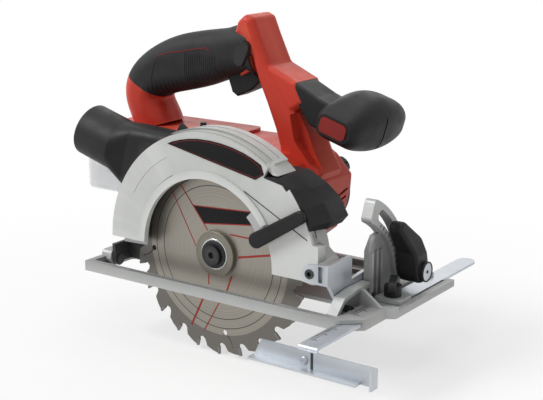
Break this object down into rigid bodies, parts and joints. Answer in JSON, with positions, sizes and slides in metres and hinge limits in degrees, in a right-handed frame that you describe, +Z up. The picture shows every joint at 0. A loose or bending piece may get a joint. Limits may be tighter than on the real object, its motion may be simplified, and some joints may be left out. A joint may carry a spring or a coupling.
{
  "type": "circular_saw",
  "caption": "Cordless circular saw with a red and black housing, grey blade guard, tilting shoe, edge fence, front handle and slide-on battery.",
  "frame": {"origin": "On the sole of the shoe, midway across the shoe and level with the arbor along it.", "axes": "+X is the cutting direction, +Y points from the blade side to the motor side, +Z is up."},
  "size_m": [0.3415, 0.2491, 0.2607],
  "materials": {
    "red_plastic": "satin moulded plastic",
    "black_plastic": "fine grained moulded plastic",
    "black_rubber": "ribbed soft overmould",
    "frosted_plastic": "pale frosted plastic",
    "cell_wrap": "shrink sleeve",
    "guard_paint": "light grey satin paint on a casting",
    "cast_aluminium": "as cast, lightly blasted",
    "zinc_steel": "bluish zinc plating",
    "blade_steel": "ground steel",
    "carbide": "ground carbide",
    "black_steel": "black oxide",
    "bright_steel": "machined steel",
    "dark_iron": "bare core and carbon"
  },
  "bodies": {
    "base": {"shoe": "cast_aluminium", "bevel_quadrant": "cast_aluminium", "quadrant_screws": "black_steel", "bevel_pivot_pins": "black_steel"},
    "fence": {"fence_bar": "zinc_steel", "fence_plate": "zinc_steel"},
    "fence_knob": {"fence_knob": "black_plastic"},
    "tilt": {"tilt_bracket": "zinc_steel", "depth_bracket": "black_steel", "bevel_bolt": "zinc_steel", "depth_pivot_pin": "black_steel"},
    "bevel_lever": {"bevel_lever": "black_plastic"},
    "saw": {"upper_guard": "guard_paint", "front_cover": "black_plastic", "dust_port": "black_plastic", "gear_housing": "cast_aluminium", "gear_cover": "cast_aluminium", "gear_screws": "zinc_steel", "guard_spring": "bright_steel", "guard_retaining_ring": "black_steel", "spindle_bearings": "bright_steel", "rotor_bearings": "bright_steel", "motor_can": "black_steel", "motor_magnets": "dark_iron", "motor_housing": "red_plastic", "motor_cap": "black_plastic", "brushes": "dark_iron", "brush_caps": "black_plastic", "housing_right": "red_plastic", "housing_left": "red_plastic", "grip_right": "black_rubber", "grip_left": "black_rubber", "front_handle": "black_plastic", "front_handle_cap": "black_plastic", "front_handle_insert": "red_plastic", "switch_block": "black_plastic", "terminal_block": "black_plastic", "hex_key": "black_steel", "depth_bolt": "black_steel"},
    "blade": {"saw_blade": "blade_steel", "carbide_tips": "carbide", "inner_flange": "blade_steel", "outer_flange": "blade_steel", "blade_bolt": "black_steel", "spindle": "bright_steel", "drive_gear": "bright_steel"},
    "rotor": {"rotor_shaft": "bright_steel", "pinion": "bright_steel", "armature": "dark_iron", "fan": "black_plastic"},
    "lower_guard": {"lower_guard": "cast_aluminium", "guard_lever": "black_plastic"},
    "trigger": {"trigger": "black_plastic"},
    "lock_off_button": {"lock_off_button": "black_plastic"},
    "spindle_lock_button": {"spindle_lock_button": "black_plastic"},
    "depth_lever": {"depth_lever": "black_plastic"},
    "battery": {"battery_lower_shell": "frosted_plastic", "battery_upper_shell": "frosted_plastic", "battery_cells": "cell_wrap"},
    "battery_latch": {"battery_latch": "black_plastic"}
  },
  "joints": [
    {"name": "fence_slide", "type": "slide", "parent": "base", "child": "fence", "axis": [0, -1, 0], "range_m": [-0.04, 0.12]},
    {"name": "fence_clamp", "type": "hinge", "parent": "base", "child": "fence_knob", "pos_m": [0.1315, -0.001, 0.0175], "axis": [0, 0, 1], "range_deg": [0, 180]},
    {"name": "bevel_tilt", "type": "hinge", "parent": "base", "child": "tilt", "pos_m": [0, -0.042, 0.006], "axis": [1, 0, 0], "range_deg": [0, 45]},
    {"name": "bevel_clamp", "type": "hinge", "parent": "tilt", "child": "bevel_lever", "pos_m": [0.13, 0.03051, 0.02075], "axis": [-1, 0, 0], "range_deg": [0, 75]},
    {"name": "depth_swing", "type": "hinge", "parent": "tilt", "child": "saw", "pos_m": [0.096, -0.042, 0.034], "axis": [0, 1, 0], "range_deg": [0, 30]},
    {"name": "blade_spin", "type": "hinge", "parent": "saw", "child": "blade", "pos_m": [0, -0.042, 0.0285], "axis": [0, 1, 0], "continuous": true},
    {"name": "rotor_spin", "type": "hinge", "parent": "saw", "child": "rotor", "pos_m": [0, 0.038, 0.0535], "axis": [0, 1, 0], "continuous": true},
    {"name": "guard_swing", "type": "hinge", "parent": "saw", "child": "lower_guard", "pos_m": [0, -0.042, 0.0285], "axis": [0, -1, 0], "range_deg": [0, 147]},
    {"name": "trigger_squeeze", "type": "slide", "parent": "saw", "child": "trigger", "axis": [0, 0, 1], "range_m": [0, 0.005], "stiffness_N_per_m": 600},
    {"name": "lock_off_press", "type": "slide", "parent": "saw", "child": "lock_off_button", "axis": [0, 1, 0], "range_m": [0, 0.0022], "stiffness_N_per_m": 600},
    {"name": "spindle_lock_press", "type": "slide", "parent": "saw", "child": "spindle_lock_button", "axis": [-1, 0, 0], "range_m": [0, 0.003], "stiffness_N_per_m": 600},
    {"name": "depth_clamp", "type": "hinge", "parent": "saw", "child": "depth_lever", "pos_m": [-0.0619, -0.02, 0.02849], "axis": [0, 1, 0], "range_deg": [0, 40]},
    {"name": "battery_slide", "type": "slide", "parent": "saw", "child": "battery", "axis": [-1, 0, 0], "range_m": [0, 0.12]},
    {"name": "latch_press", "type": "slide", "parent": "battery", "child": "battery_latch", "axis": [1, 0, 0], "range_m": [0, 0.0025], "stiffness_N_per_m": 600}
  ],
  "couplings": [
    {"joint": "rotor_spin", "follows": "blade_spin", "ratio": -4.5556}
  ]
}
